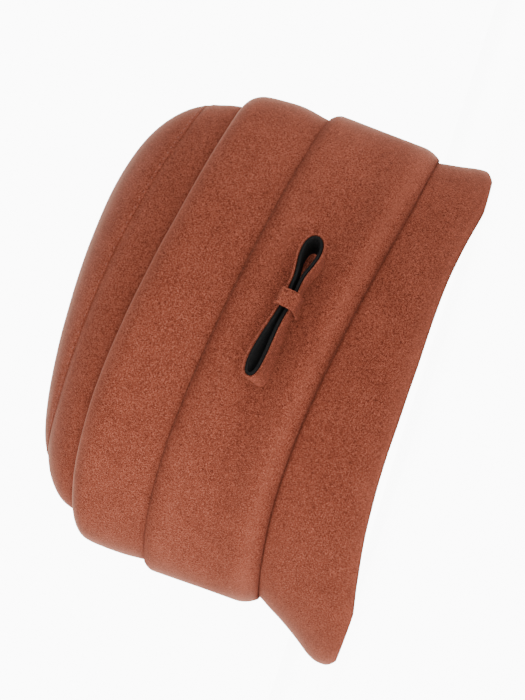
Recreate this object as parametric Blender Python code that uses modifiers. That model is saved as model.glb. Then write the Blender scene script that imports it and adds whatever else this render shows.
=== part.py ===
"""A cloche hat of thick felt cloth, resting on its brim.

Metres, +Z up. The hat's front looks along -Y and its left side, with the bow, along +X. The crown is an oval tip
sewn over a side wall. Two folded tiers go round the wall, the flared brim starts under the lower one, and a lined
bow stands on edge on the lower tier.
"""

import math
from collections import namedtuple

import bmesh
import bpy
import numpy as np
from mathutils import Matrix, Vector

# Sizes of the hat
HEAD_LENGTH = 0.2030  # inside the head opening, front to back
HEAD_WIDTH = 0.166  # inside the head opening, side to side
HAT_HEIGHT = 0.1637  # table to the middle of the tip's cloth
RIM_ARCH = 0.0082  # how far the rim rises at the sides
CLOTH = 0.0015  # felt cloth of the crown and the folds
BRIM_CLOTH = 0.0024  # doubled cloth of the brim
GAP = 0.0004  # between two pieces of cloth that touch

# Sizes of the folds and laps
SEAM_LAP = 0.007  # tip over the side wall
SEAM_STEP = 0.0005  # how far the tip stands over the side wall at the seam
SHOULDER_DROP = 0.025  # height of the upper fold's rounded shoulder
FOLD_TURN = 0.0013  # radius at which the upper fold turns over
UPPER_TUCK = 0.013  # turned-under cloth of the upper fold
UPPER_LAP = 0.012  # upper fold hidden behind the lower fold
LOWER_TUCK = 0.013  # turned-under cloth at the lower fold's top edge
LOWER_HEM = 0.014  # turned-under cloth at the lower fold's bottom edge
LOWER_ROLL = 0.0034  # width of the roll at the lower fold's bottom edge
ROLL_DEPTH = 0.0030  # height of the roll's rounding
BRIM_LAP = 0.011  # brim hidden behind the lower fold

# Sizes of the bow
BOW_AZIMUTH = math.radians(101)  # from the hat's front, round its left side
BOW_HEIGHT = 0.47  # share of the lower fold's height at which the knot sits
BOW_SLOPE = math.radians(-5.5)  # the back loop hangs lower
FRONT_LEAN = math.radians(23)  # how far the strip's outer edge leans up at the end of the front loop
KNOT_LEAN = math.radians(15)
BACK_LEAN = math.radians(10)
BOW_WIDTH = 0.0105  # width of the strip, which stands on edge
BOW_BEND = 0.150  # radius at which the loops follow the hat
BOW_FELT = 0.0011  # outer strip
BOW_LINING = 0.0011  # black strip
FRONT_LOOP = 0.0360  # knot to the end of the loop
BACK_LOOP = 0.0310
FRONT_LOOP_GAP = 0.0044  # widest opening of the loop
BACK_LOOP_GAP = 0.0060
KNOT_GAP = 0.0004  # opening left where the keeper pinches the loops
KEEPER_WIDTH = 0.0088
KEEPER_FELT = 0.0011
KEEPER_CORNER = 0.0013  # corner radius of the keeper, at the middle of its felt

# Fineness of the faceted shapes
AROUND = 56  # facets round the hat
TURN_STEPS = 2  # facets of a quarter turn of cloth
LOOP_STEPS = 12  # facets along one side of a bow loop

# Shape of the bow's loops
WIDEST = 0.80  # share of the loop's length at which it is widest
END_POWER = 2.2  # roundness of the loop's end

# Plan ovals of the cloth's inner face, as shares of half the head opening
Oval = namedtuple("Oval", "front back side")
OVALS = {
    "tip_seam": Oval(0.682, 0.967, 0.776),
    "shoulder": Oval(0.820, 0.982, 0.850),
    "bend": Oval(0.890, 0.996, 0.898),
    "fold_line": Oval(0.912, 1.004, 0.927),
    "waist": Oval(0.970, 1.004, 0.975),
    "head": Oval(1.0, 1.0, 1.0),
    "upper_fold": Oval(1.053, 1.083, 1.066),
    "under_band": Oval(1.046, 1.060, 1.062),
    "rim": Oval(1.235, 1.050, 1.118),
}

# Heights of the main lines, as shares of the hat's height
Level = namedtuple("Level", "front front_quarter side back_quarter back")
LEVELS = {
    "tip_seam": Level(0.951, 0.940, 0.910, 0.858, 0.820),
    "fold_edge": Level(0.817, 0.817, 0.786, 0.726, 0.711),
    "band_top": Level(0.574, 0.594, 0.568, 0.513, 0.472),
    "band_bottom": Level(0.251, 0.287, 0.271, 0.190, 0.163),
}

# Height of the rim every 22.5 degrees from front to back, as shares of its arch. Below 0 it is pressed flat
RIM_HEIGHTS = (0.50, -0.12, 0.07, 0.83, 1.0, 0.88, 0.33, -0.08, 0.44)

# The side wall from the tip seam down: its oval, the two main lines it lies between, and how far down
WallRow = namedtuple("WallRow", "oval above below share")
WALL = (
    WallRow("tip_seam", "tip_seam", "fold_edge", 0.0),
    WallRow("shoulder", "tip_seam", "fold_edge", 0.28),
    WallRow("bend", "tip_seam", "fold_edge", 0.62),
    WallRow("fold_line", "tip_seam", "fold_edge", 1.0),
    WallRow("waist", "fold_edge", "band_top", 0.8),
    WallRow("head", "band_top", "band_bottom", 1.0),
)

# The upper fold's shoulder from its top edge: share of its drop, and share of the way out to the face
ShoulderRow = namedtuple("ShoulderRow", "drop out")
SHOULDER = (
    ShoulderRow(0.02, 0.14),
    ShoulderRow(0.09, 0.40),
    ShoulderRow(0.21, 0.63),
    ShoulderRow(0.40, 0.84),
    ShoulderRow(0.64, 0.96),
    ShoulderRow(1.0, 1.0),
)

# The brim's fall from the lower fold to the rim: share of the height, and share of the flare
FlareRow = namedtuple("FlareRow", "fall flare")
FLARE = (
    FlareRow(0.30, 0.28),
    FlareRow(0.60, 0.65),
    FlareRow(0.80, 0.91),
    FlareRow(0.90, 0.99),
    FlareRow(1.0, 0.98),
)

# The tip's dome: it falls from its middle as a mix of powers of the distance, a share of the fall for each
DomeTerm = namedtuple("DomeTerm", "share power")
DOME = (DomeTerm(0.6, 2), DomeTerm(0.4, 8))
TIP_SHARES = (0.0, 0.22, 0.42, 0.60, 0.76, 0.90, 1.0)  # rows of facets, from the tip's middle to its edge

# Other shares of the sizes above
LAP_SHARES = (-1.0, -0.4, 0.25)  # side wall under the tip: shares of the lap, from the tip's edge
JOGGLE_SHARE = 0.5  # where the side wall comes out from under the tip, between its first two rows
TURN_SHARES = (0.3, 0.3, 0.7)  # the middle of the upper fold's turn: how far out and up it is
FACE_SHARES = (0.33, 0.67)  # rows of facets down the lower fold's face
PINCH_SHARE = 0.7  # stretch of the loops that stays pinched, in keeper widths from the knot

# Linear colours of the felts
RUST = (0.365, 0.093, 0.048)
BLACK = (0.006, 0.006, 0.007)


def clear_scene():
    for obj in list(bpy.data.objects):
        bpy.data.objects.remove(obj, do_unlink=True)


def felt(name, colour):
    material = bpy.data.materials.new(name)
    material.use_nodes = True
    shader = material.node_tree.nodes["Principled BSDF"]
    shader.inputs["Base Color"].default_value = (*colour, 1.0)
    shader.inputs["Roughness"].default_value = 0.95
    shader.inputs["Metallic"].default_value = 0.0
    return material


def series(values, azimuth):
    """A cosine series through values taken at equal steps from the front (azimuth 0) to the back."""
    steps = len(values) - 1
    ends = np.ones(steps + 1)
    ends[[0, -1]] = 0.5
    order = np.arange(steps + 1)
    waves = np.cos(np.outer(order, order) * math.pi / steps)
    weights = 2 / steps * (waves @ (np.array(values) * ends)) * ends
    return float(weights @ np.cos(order * azimuth))


def level(name, azimuth):
    return HAT_HEIGHT * series(LEVELS[name], azimuth)


def rim_height(azimuth):
    return RIM_ARCH * series(RIM_HEIGHTS, azimuth)


def outward(azimuth):
    """The level direction square to the head oval."""
    direction = np.array((HEAD_LENGTH * math.sin(azimuth), -HEAD_WIDTH * math.cos(azimuth), 0.0))
    return direction / np.linalg.norm(direction)


def oval_point(name, azimuth, out=0.0):
    """A point of a plan oval, moved out by a length."""
    oval = OVALS[name]
    middle = (oval.back - oval.front) * HEAD_LENGTH / 4
    reach = (oval.back + oval.front) * HEAD_LENGTH / 4
    x = oval.side * HEAD_WIDTH / 2 * math.sin(azimuth)
    y = middle - reach * math.cos(azimuth)
    return np.array((x, y, 0.0)) + out * outward(azimuth)


def raised(point, height):
    return np.array((point[0], point[1], height))


def wall_rows(azimuth):
    """The middle of the side wall's cloth at each row of the wall table."""
    rows = []
    for row in WALL:
        high, low = level(row.above, azimuth), level(row.below, azimuth)
        rows.append(raised(oval_point(row.oval, azimuth, CLOTH / 2), high + (low - high) * row.share))
    return rows


def wall_at(azimuth, height, out=0.0):
    """The middle of the side wall's cloth at a height, moved out by a length."""
    rows = np.array(wall_rows(azimuth))[::-1]
    x, y = (np.interp(height, rows[:, 2], rows[:, axis]) for axis in (0, 1))
    return np.array((x, y, height)) + out * outward(azimuth)


def tip_point(azimuth, share):
    """A point of the tip's cloth at a share of the way from its middle to the seam."""
    edge = raised(oval_point("tip_seam", azimuth, CLOTH / 2), level("tip_seam", azimuth))
    oval = OVALS["tip_seam"]
    middle = np.array((0.0, (oval.back - oval.front) * HEAD_LENGTH / 4, HAT_HEIGHT))
    fall = sum(term.share * share**term.power for term in DOME)
    point = middle + (edge - middle) * share
    point[2] = HAT_HEIGHT + (edge[2] - HAT_HEIGHT) * fall
    return point


def under_tip(azimuth, share, depth):
    """A point at a depth under the tip's cloth, square to it."""
    step = 0.001
    along = tip_point(azimuth, share + step) - tip_point(azimuth, share - step)
    sideways = tip_point(azimuth + step, share) - tip_point(azimuth - step, share)
    normal = np.cross(along, sideways)
    return tip_point(azimuth, share) - depth * normal / np.linalg.norm(normal)


def tip_section(azimuth):
    return [tip_point(azimuth, share) for share in TIP_SHARES]


def side_section(azimuth):
    """From under the tip, out to the seam and down inside the folds to the head opening."""
    seam_reach = np.linalg.norm(tip_point(azimuth, 1.0) - tip_point(azimuth, 0.0))
    lap = SEAM_LAP / seam_reach
    depth = CLOTH + GAP
    points = [under_tip(azimuth, 1 + lap * share, depth) for share in LAP_SHARES]
    rows = wall_rows(azimuth)
    joggle = rows[0] + (rows[1] - rows[0]) * JOGGLE_SHARE
    points.append(joggle - SEAM_STEP * outward(azimuth))
    points.extend(rows[1:])
    return points


def upper_fold_section(azimuth):
    """Up along the wall, over the fold's edge, round its shoulder and down behind the lower fold."""
    layer = CLOTH + GAP
    edge = level("fold_edge", azimuth) - CLOTH / 2
    crease = wall_at(azimuth, edge - FOLD_TURN, layer)
    top = crease + FOLD_TURN * outward(azimuth) + (0, 0, FOLD_TURN)
    turn = crease + (top - crease) * TURN_SHARES
    points = [wall_at(azimuth, edge - UPPER_TUCK, layer), crease, turn, top]
    face = raised(oval_point("upper_fold", azimuth, CLOTH / 2), edge - SHOULDER_DROP)
    for row in SHOULDER:
        point = top + (face - top) * row.out
        point[2] = top[2] + (face[2] - top[2]) * row.drop
        points.append(point)
    points.append(raised(oval_point("under_band", azimuth, CLOTH / 2), level("band_top", azimuth)))
    points.append(points[-1] - (0, 0, UPPER_LAP))
    return points


def half_turn(start, end, lift):
    """Points of the half ellipse of cloth between two points, which bulges up by a length."""
    middle, half = (start + end) / 2, (end - start) / 2
    points = []
    for step in range(2 * TURN_STEPS + 1):
        angle = math.pi * step / (2 * TURN_STEPS)
        points.append(middle - half * math.cos(angle) + (0, 0, lift * math.sin(angle)))
    return points


def brim_root(azimuth, out=0.0):
    """The middle of the brim's cloth where it lies on the side wall, moved out by a length."""
    return oval_point("head", azimuth, CLOTH + GAP + BRIM_CLOTH / 2 + out)


def band_face(azimuth):
    """The middle of the lower fold's outer cloth at its top and its bottom turn."""
    top = level("band_top", azimuth) - (2 * CLOTH + GAP) / 2
    bottom = level("band_bottom", azimuth) + CLOTH / 2 + ROLL_DEPTH
    outer = oval_point("under_band", azimuth, CLOTH / 2 + 2 * (CLOTH + GAP))
    foot = brim_root(azimuth, BRIM_CLOTH / 2 + GAP + CLOTH / 2 + LOWER_ROLL)
    return raised(outer, top), raised(foot, bottom)


def lower_fold_section(azimuth):
    """Up along the upper fold, over the top edge, down the face, under the bottom edge and up along the brim."""
    top, foot = band_face(azimuth)
    inner = top - (CLOTH + GAP) * outward(azimuth)
    hem = foot - LOWER_ROLL * outward(azimuth)
    points = [inner - (0, 0, LOWER_TUCK)]
    points.extend(half_turn(inner, top, (CLOTH + GAP) / 2))
    points.extend(top + (foot - top) * share for share in FACE_SHARES)
    points.extend(half_turn(foot, hem, -ROLL_DEPTH))
    points.append(hem + (0, 0, LOWER_HEM))
    return points


def brim_section(azimuth):
    """From behind the lower fold down to the rim."""
    start = raised(brim_root(azimuth), level("band_bottom", azimuth))
    rim = raised(oval_point("rim", azimuth, BRIM_CLOTH / 2), rim_height(azimuth))
    points = [start + (0, 0, BRIM_LAP), start]
    for row in FLARE:
        point = start + (rim - start) * row.flare
        point[2] = start[2] + (rim[2] - start[2]) * row.fall
        points.append(point)
    return points


def wrapped_cloth(name, columns, thickness, material, collection, parent):
    """A grid bent round into a closed band of columns, with the cloth's thickness from Solidify."""
    last = len(columns[0]) - 1
    bm = bmesh.new()
    bmesh.ops.create_grid(bm, x_segments=len(columns), y_segments=last, size=1)
    for vert in bm.verts:
        column = round((vert.co.x + 1) / 2 * len(columns)) % len(columns)
        row = last - round((vert.co.y + 1) / 2 * last)
        vert.co = columns[column][row]
    bmesh.ops.remove_doubles(bm, verts=bm.verts, dist=1e-6)
    mesh = bpy.data.meshes.new(name)
    bm.to_mesh(mesh)
    bm.free()
    mesh.materials.append(material)
    mesh.shade_smooth()
    mesh.set_sharp_from_angle(angle=math.radians(40))
    obj = bpy.data.objects.new(name, mesh)
    collection.objects.link(obj)
    obj.parent = parent
    shell = obj.modifiers.new("cloth", "SOLIDIFY")
    shell.thickness = thickness
    shell.offset = 0.0
    shell.use_even_offset = True
    return obj


def hat_cloth(name, section, thickness, material, collection, parent):
    """A cloth with the same section all round the hat."""
    columns = [section(2 * math.pi * step / AROUND) for step in range(AROUND)]
    return wrapped_cloth(name, columns, thickness, material, collection, parent)


def press_on_table(obj):
    """Applies the cloth's thickness, then presses flat what would reach below the table."""
    graph = bpy.context.evaluated_depsgraph_get()
    mesh = bpy.data.meshes.new_from_object(obj.evaluated_get(graph))
    for vert in mesh.vertices:
        vert.co.z = max(vert.co.z, 0.0)
    obj.modifiers.clear()
    obj.data = mesh
    mesh.name = obj.name


def bow_seat(parent):
    """An empty on the lower fold: +X along the hat to the back, +Y up the fold and +Z out."""
    top, foot = band_face(BOW_AZIMUTH)
    up = Vector(top - foot).normalized()
    back = up.cross(Vector(outward(BOW_AZIMUTH))).normalized()
    out = back.cross(up)
    seat = bpy.data.objects.new("bow_seat", None)
    seat.parent = parent
    seat.location = Vector(foot + (top - foot) * BOW_HEIGHT) + (CLOTH / 2 + GAP) * out
    turn = Matrix((back, up, out)).transposed()
    seat.rotation_euler = (turn @ Matrix.Rotation(BOW_SLOPE, 3, "Z")).to_euler()
    bpy.context.scene.collection.objects.link(seat)
    return seat


def loop_opening(share, gap, reach):
    """Half the opening of a loop at a share of the way from the knot to its end."""
    pinched = PINCH_SHARE * KEEPER_WIDTH / reach
    swell = np.clip((share - pinched) / (WIDEST - pinched), 0.0, 1.0)
    swell = math.sin(math.pi / 2 * swell) ** 2
    narrowing = max(0.0, (share - WIDEST) / (1 - WIDEST))
    return (KNOT_GAP + (gap - KNOT_GAP) * swell) / 2 * math.sqrt(1 - narrowing**END_POWER)


def loops_outline(out):
    """The bow in plan: the closed outline of its opening, moved out by a length."""
    walls = BOW_LINING + GAP + BOW_FELT
    upper = []
    for step in range(-LOOP_STEPS, LOOP_STEPS + 1):
        share = math.sin(math.pi / 2 * abs(step) / LOOP_STEPS)
        length, gap, turn = (BACK_LOOP, BACK_LOOP_GAP, 1) if step > 0 else (FRONT_LOOP, FRONT_LOOP_GAP, -1)
        upper.append((turn * share * (length - walls), loop_opening(share, gap, length - walls)))
    outline = np.array(upper + [(x, -y) for x, y in upper[-2:0:-1]])
    along = np.roll(outline, -1, axis=0) - np.roll(outline, 1, axis=0)
    along /= np.linalg.norm(along, axis=1)[:, None]
    return outline + out * np.column_stack((-along[:, 1], along[:, 0]))


def bow_point(x, y, z):
    """A point of the bow in the seat's frame, from its place in a bow that stands straight out."""
    lean = np.interp(x, (-FRONT_LOOP, 0.0, BACK_LOOP), (FRONT_LEAN, KNOT_LEAN, BACK_LEAN))
    return np.array((x, y + z * math.tan(lean), z))


def bow_strip(name, out, thickness, material, collection, seat):
    """One felt strip of the bow. It follows the hat, more and more away from the knot."""
    start = KEEPER_FELT + GAP
    columns = []
    for x, y in loops_outline(out / math.cos(FRONT_LEAN)):
        sag = x**2 / (2 * BOW_BEND)
        columns.append([bow_point(x, y, start - sag + share * BOW_WIDTH) for share in (0.0, 1.0)])
    return wrapped_cloth(name, columns, thickness, material, collection, seat)


def bow_keeper(material, collection, seat):
    """The felt strip wrapped round the middle of the bow."""
    centre = KEEPER_FELT + GAP + BOW_WIDTH / 2
    sag = KEEPER_WIDTH**2 / (8 * BOW_BEND)
    half_depth = BOW_WIDTH / 2 + sag + GAP + KEEPER_FELT / 2
    bundle = KNOT_GAP / 2 + (BOW_LINING + GAP + BOW_FELT + GAP + KEEPER_FELT / 2) / math.cos(FRONT_LEAN)
    columns = []
    for quarter, (side, up) in enumerate(((1, 1), (-1, 1), (-1, -1), (1, -1))):
        for step in range(TURN_STEPS + 1):
            angle = math.pi / 2 * (quarter + step / TURN_STEPS)
            y = side * (bundle - KEEPER_CORNER) + KEEPER_CORNER * math.cos(angle)
            z = up * (half_depth - KEEPER_CORNER) + KEEPER_CORNER * math.sin(angle)
            columns.append([bow_point(end * KEEPER_WIDTH / 2, y, centre + z) for end in (1, -1)])
    return wrapped_cloth("bow_keeper", columns, KEEPER_FELT, material, collection, seat)


def rest_at_origin(root, parts):
    """Moves the hat so that the origin is under the middle of its box, on the table."""
    bpy.context.view_layer.update()
    graph = bpy.context.evaluated_depsgraph_get()
    corners = []
    for part in parts:
        shape = part.evaluated_get(graph)
        corners.extend(shape.matrix_world @ vert.co for vert in shape.data.vertices)
    corners = np.array(corners)
    low, high = corners.min(axis=0), corners.max(axis=0)
    root.location = (-(low[0] + high[0]) / 2, -(low[1] + high[1]) / 2, 0.0)


def build_hat():
    clear_scene()
    collection = bpy.data.collections.new("cloche_hat")
    bpy.context.scene.collection.children.link(collection)
    rust, black = felt("rust_felt", RUST), felt("black_felt", BLACK)
    root = bpy.data.objects.new("hat", None)
    bpy.context.scene.collection.objects.link(root)
    parts = [
        hat_cloth("crown_tip", tip_section, CLOTH, rust, collection, root),
        hat_cloth("crown_side", side_section, CLOTH, rust, collection, root),
        hat_cloth("upper_fold", upper_fold_section, CLOTH, rust, collection, root),
        hat_cloth("lower_fold", lower_fold_section, CLOTH, rust, collection, root),
        hat_cloth("brim", brim_section, BRIM_CLOTH, rust, collection, root),
    ]
    press_on_table(parts[-1])
    seat = bow_seat(root)
    lining_middle = BOW_LINING / 2
    felt_middle = BOW_LINING + GAP + BOW_FELT / 2
    parts.append(bow_strip("bow_lining", lining_middle, BOW_LINING, black, collection, seat))
    parts.append(bow_strip("bow_loops", felt_middle, BOW_FELT, rust, collection, seat))
    parts.append(bow_keeper(rust, collection, seat))
    rest_at_origin(root, parts)


build_hat()
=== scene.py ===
import math
from collections import namedtuple

import bpy
import numpy as np
from bpy.props import FloatProperty, FloatVectorProperty, PointerProperty
from mathutils import Matrix, Vector, noise


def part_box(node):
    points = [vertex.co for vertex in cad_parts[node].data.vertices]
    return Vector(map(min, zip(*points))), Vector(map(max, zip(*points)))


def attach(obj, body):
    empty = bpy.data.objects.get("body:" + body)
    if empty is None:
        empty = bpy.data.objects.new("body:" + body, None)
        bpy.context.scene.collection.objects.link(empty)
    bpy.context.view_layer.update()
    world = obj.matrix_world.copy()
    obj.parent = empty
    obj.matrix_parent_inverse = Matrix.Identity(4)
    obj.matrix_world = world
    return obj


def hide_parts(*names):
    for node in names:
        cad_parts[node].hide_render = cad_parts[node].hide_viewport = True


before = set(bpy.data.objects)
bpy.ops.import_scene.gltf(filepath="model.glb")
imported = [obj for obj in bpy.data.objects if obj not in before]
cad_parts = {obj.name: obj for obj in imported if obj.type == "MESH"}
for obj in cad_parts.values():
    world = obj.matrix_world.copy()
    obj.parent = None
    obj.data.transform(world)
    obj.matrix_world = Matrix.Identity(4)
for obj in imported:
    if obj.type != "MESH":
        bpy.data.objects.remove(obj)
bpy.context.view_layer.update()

bl_info = {
    "name": "Felt cloche hat",
    "version": (1, 0, 0),
    "blender": (4, 5, 0),
    "location": "3D Viewport > Sidebar > Hat",
    "description": "Makes a felt cloche hat: its tip, side, two folds, brim, bow, seams and stitches",
    "category": "Object",
}

# Fineness of the meshes
AROUND = 208  # columns of cells round the hat
TIP_CELLS = 52  # cells across the tip, so that its edge has as many as the side
CELL = 0.0026  # usual height of a cell on a flat stretch
QUARTER_STEPS = 5  # cells in a quarter turn of cloth
EDGE_STEPS = 6  # cells across the soft edge of a fold
FACE_ROWS = 14  # rows of cells down the lower fold's face
LOOP_STEPS = 30  # cells along one side of a bow loop
EDGE_ROW = 0.0005  # last cells before a cut edge, which keep it crisp
MERGE_DISTANCE = 1e-6  # within which two points where a cloth's ends meet are one

# The hand-pressed unevenness of the felt
DENT_SEED = 7  # gives it its one pattern, the same each run
FINE_DENT_DEPTH = 0.4  # depth of its finer part, as a share of the coarser
FINE_DENT_SCALE = 2.7  # how many times finer that part is

# Plan ovals of the cloth's inner face, as shares of half the head opening
Oval = namedtuple("Oval", "front back side")
OVALS = {
    "tip_seam": Oval(0.750, 0.970, 0.800),
    "shoulder": Oval(0.836, 0.976, 0.850),
    "bend": Oval(0.910, 0.992, 0.898),
    "fold_line": Oval(0.938, 1.002, 0.927),
    "waist": Oval(0.970, 1.004, 0.975),
    "head": Oval(1.0, 1.0, 1.0),
    "brim_root": Oval(1.012, 1.0, 1.0),
    "upper_fold": Oval(1.053, 1.083, 1.066),
    "under_band": Oval(1.046, 1.060, 1.062),
    "rim": Oval(1.235, 1.050, 1.076),
}

# Heights of the main lines, as shares of the hat's height
Level = namedtuple("Level", "front front_quarter side back_quarter back")
LEVELS = {
    "tip_seam": Level(0.934, 0.924, 0.896, 0.836, 0.810),
    "fold_edge": Level(0.806, 0.824, 0.797, 0.731, 0.711),
    "band_top": Level(0.582, 0.597, 0.566, 0.502, 0.472),
    "band_bottom": Level(0.253, 0.280, 0.264, 0.186, 0.155),
}

# Height of the rim every 22.5 degrees from front to back, as shares of its arch. Below 0 it is pressed flat
RIM_HEIGHTS = (0.50, -0.12, 0.07, 0.83, 1.0, 0.88, 0.33, -0.08, 0.44)

# The side wall from the tip seam down: its oval, the two main lines it lies between, and how far down
WallRow = namedtuple("WallRow", "oval above below share")
WALL = (
    WallRow("tip_seam", "tip_seam", "fold_edge", 0.0),
    WallRow("shoulder", "tip_seam", "fold_edge", 0.26),
    WallRow("bend", "tip_seam", "fold_edge", 0.60),
    WallRow("fold_line", "tip_seam", "fold_edge", 1.0),
    WallRow("waist", "fold_edge", "band_top", 0.8),
    WallRow("head", "band_top", "band_bottom", 1.0),
)

# The upper fold's shoulder from its top edge: share of its drop, and share of the way out to the face
ShoulderRow = namedtuple("ShoulderRow", "drop out")
SHOULDER = (
    ShoulderRow(0.02, 0.18),
    ShoulderRow(0.09, 0.51),
    ShoulderRow(0.20, 0.78),
    ShoulderRow(0.36, 0.92),
    ShoulderRow(0.60, 0.98),
    ShoulderRow(1.0, 1.0),
)

# The brim's fall from the lower fold to the rim: shares of the height, of the flare, and of the sides' lip
FlareRow = namedtuple("FlareRow", "fall flare lip")
FLARE = (
    FlareRow(0.14, 0.15, -0.42),
    FlareRow(0.35, 0.36, -0.38),
    FlareRow(0.60, 0.65, -0.12),
    FlareRow(0.80, 0.91, 0.25),
    FlareRow(0.90, 0.99, 0.58),
    FlareRow(1.0, 0.98, 1.0),
)

# The tip's dome: it falls from its middle as a mix of powers of the distance, a share of the fall for each
DomeTerm = namedtuple("DomeTerm", "share power")
DOME = (DomeTerm(0.6, 2), DomeTerm(0.4, 8))

# Painted light and shade on a cloth, each mark along a line at a share of the way from one main line down to
# another.
# Above 0 it is a painted highlight, on the fold's and the rim's edges also standing for rubbed nap; below 0 it
# is painted shade in creases and hollows. A mark fades away from its line over its reach in metres, like a
# bell where the power is 2 and with a sharp crest where it is 1
Mark = namedtuple("Mark", "above below share strength reach power")
# On the crown's side: painted shade next to the upper fold's edge
CROWN_PAINTED_SHADE = (
    Mark("fold_edge", "fold_edge", 0.0, -0.32, 0.0012, 1),
    Mark("fold_edge", "fold_edge", 0.0, -0.32, 0.0090, 1),
)
# On the upper fold: painted highlight along its top edge, painted shade next to the lower fold's top edge
UPPER_PAINTED_LIGHT_SHADE = (
    Mark("fold_edge", "fold_edge", 0.0, 0.40, 0.0012, 2),
    Mark("band_top", "band_top", 0.0, -0.36, 0.0010, 1),
    Mark("band_top", "band_top", 0.0, -0.24, 0.0030, 1),
)
# On the lower fold: painted shade in its two creases and its face's hollow, painted highlight on its swells
LOWER_PAINTED_LIGHT_SHADE = (
    Mark("band_top", "band_top", 0.0, -0.30, 0.0010, 1),
    Mark("band_top", "band_top", 0.0, -0.34, 0.0044, 2),
    Mark("band_top", "band_bottom", 0.16, 0.05, 0.0060, 2),
    Mark("band_top", "band_bottom", 0.62, -0.20, 0.0095, 2),
    Mark("band_top", "band_bottom", 0.89, 0.24, 0.0042, 2),
    Mark("band_bottom", "band_bottom", 0.0, -0.62, 0.0012, 1),
    Mark("band_bottom", "band_bottom", 0.0, -0.26, 0.0034, 1),
)
# On the brim: painted shade under the lower fold, painted highlight towards the rim and along its edge
BRIM_PAINTED_LIGHT_SHADE = (
    Mark("band_bottom", "band_bottom", 0.0, -0.46, 0.0010, 1),
    Mark("band_bottom", "band_bottom", 0.0, -0.32, 0.0070, 1),
    Mark("rim", "rim", 0.0, 0.16, 0.0075, 2),
    Mark("rim", "rim", 0.0, 0.25, 0.0012, 2),
)
MARK_ENDS = 0.35  # share of a painted shade mark's strength that is left at the hat's front and back

# The side wall's cloth under the tip: shares of the lap past the tip's edge, and how deep it lies in metres
LapRow = namedtuple("LapRow", "share depth")
LAP = (LapRow(-1.0, 0.0019), LapRow(-0.5, 0.0016), LapRow(-0.03, 0.00092), LapRow(0.12, 0.00084))
JOGGLE_SHARE = 0.6  # where the side wall is level with the tip, between its first two rows
TIP_THINNING = 0.15  # share of the tip's thickness that is left at its edge, pressed thin in the seam
TIP_THIN_RING = 0.05  # width of that ring, as a share of the tip's reach

# Soft swells (+) and hollows (-) down the lower fold's face: where, how wide, and how far out in metres
Swell = namedtuple("Swell", "share width out")
FACE_SWELLS = (Swell(0.16, 0.20, 0.0012), Swell(0.66, 0.19, -0.0030), Swell(0.98, 0.10, 0.0008))

# The camera, level with the hat's brim and rolled as the hat lies in the picture
CAMERA_DISTANCE = 1.0
CAMERA_HEIGHT = 0.0285
AIM_HEIGHT = 0.0752
CAMERA_ROLL = math.radians(71.89)
FOCAL_PIXELS = 2185.0
PICTURE_HEIGHT = 700.0
SENSOR_MM = 36.0
CLIP = (0.01, 30.0)  # nearest and farthest that the camera sees

# How bright the studio is: as it is seen, and as it lights the hat
BACKDROP_GLOW = 11.0
ROOM_LIGHT = 0.30
FLOOR_GLOW = 10.0
FLOOR_LIGHT = 0.36

# The soft square lamps, which all face the middle of the hat
Lamp = namedtuple("Lamp", "name place size power")
LAMPS = (
    Lamp("key_soft", (1.0, 1.1, 0.22), 0.5, 5.0),
    Lamp("side_soft", (1.6, -0.2, 0.3), 0.9, 5.0),
    Lamp("front_soft", (0.7, -1.4, 0.4), 1.0, 28.0),
    Lamp("back_soft", (0.0, 1.5, 0.5), 1.0, 8.0),
    Lamp("top_soft", (-0.9, 0.2, 1.1), 0.8, 14.0),
)
LAMP_AIM = (0.0, 0.0, 0.08)

# The floor
FLOOR_SIZE = 8.0
FLOOR_ROUGHNESS = 0.9
FLOOR_CLOUDS = 3.0  # how fine its faint clouds are
FLOOR_CLOUD_TONE = 0.99  # brightness of the clouds, as a share of the floor's

# The felt's grain: how fine each pattern is and how it is broken up
Grain = namedtuple("Grain", "scale detail roughness distortion")
FIBRES = Grain(2100.0, 1.0, 0.5, 1.8)
LINT = Grain(4200.0, 1.0, 0.5, 1.0)
CLOUDS = Grain(70.0, 2.0, 0.5, 0.3)
FIBRE_SHARE = 0.70  # how much each pattern counts
LINT_SHARE = 0.30
CLOUD_SHARE = 0.05
DEEP_PLACE, MIDDLE_PLACE, PALE_PLACE = 0.41, 0.5, 0.59  # where on the grain the three colours lie
RELIEF_DEPTH = 0.0006

# The felt's shine, and the painted highlight at its outline
FELT_ROUGHNESS = 0.92
FELT_GLOSS = 0.12
SHEEN_ROUGHNESS = 0.27
NAP_SHEEN = 0.14  # weight of the sheen on brushed felt
PRESSED_SHEEN = 0.05  # the same on cut edges and on the bow's strips
OUTLINE_HIGHLIGHT_POWER = 8.0  # how close to the outline the painted highlight stays
OUTLINE_HIGHLIGHT_FADING = 4.0  # how fast painted shade takes that painted highlight away

# The stitches' thread
THREAD_ROUGHNESS = 0.7
THREAD_SHEEN = 0.2
THREAD_TWIST = 900.0

LOOP_END_POWER = 2.2  # how blunt the ends of the bow's loops are


def length(name, default, description):
    return FloatProperty(name=name, description=description, default=default, unit="LENGTH", precision=5)


def angle(name, degrees, description):
    return FloatProperty(
        name=name, description=description, default=math.radians(degrees), subtype="ANGLE"
    )


def share(name, default, description):
    return FloatProperty(
        name=name, description=description, default=default, min=0.0, max=1.0, subtype="FACTOR"
    )


def colour(name, default, description):
    return FloatVectorProperty(
        name=name, description=description, default=default, size=3, min=0.0, max=1.0, subtype="COLOR"
    )


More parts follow.
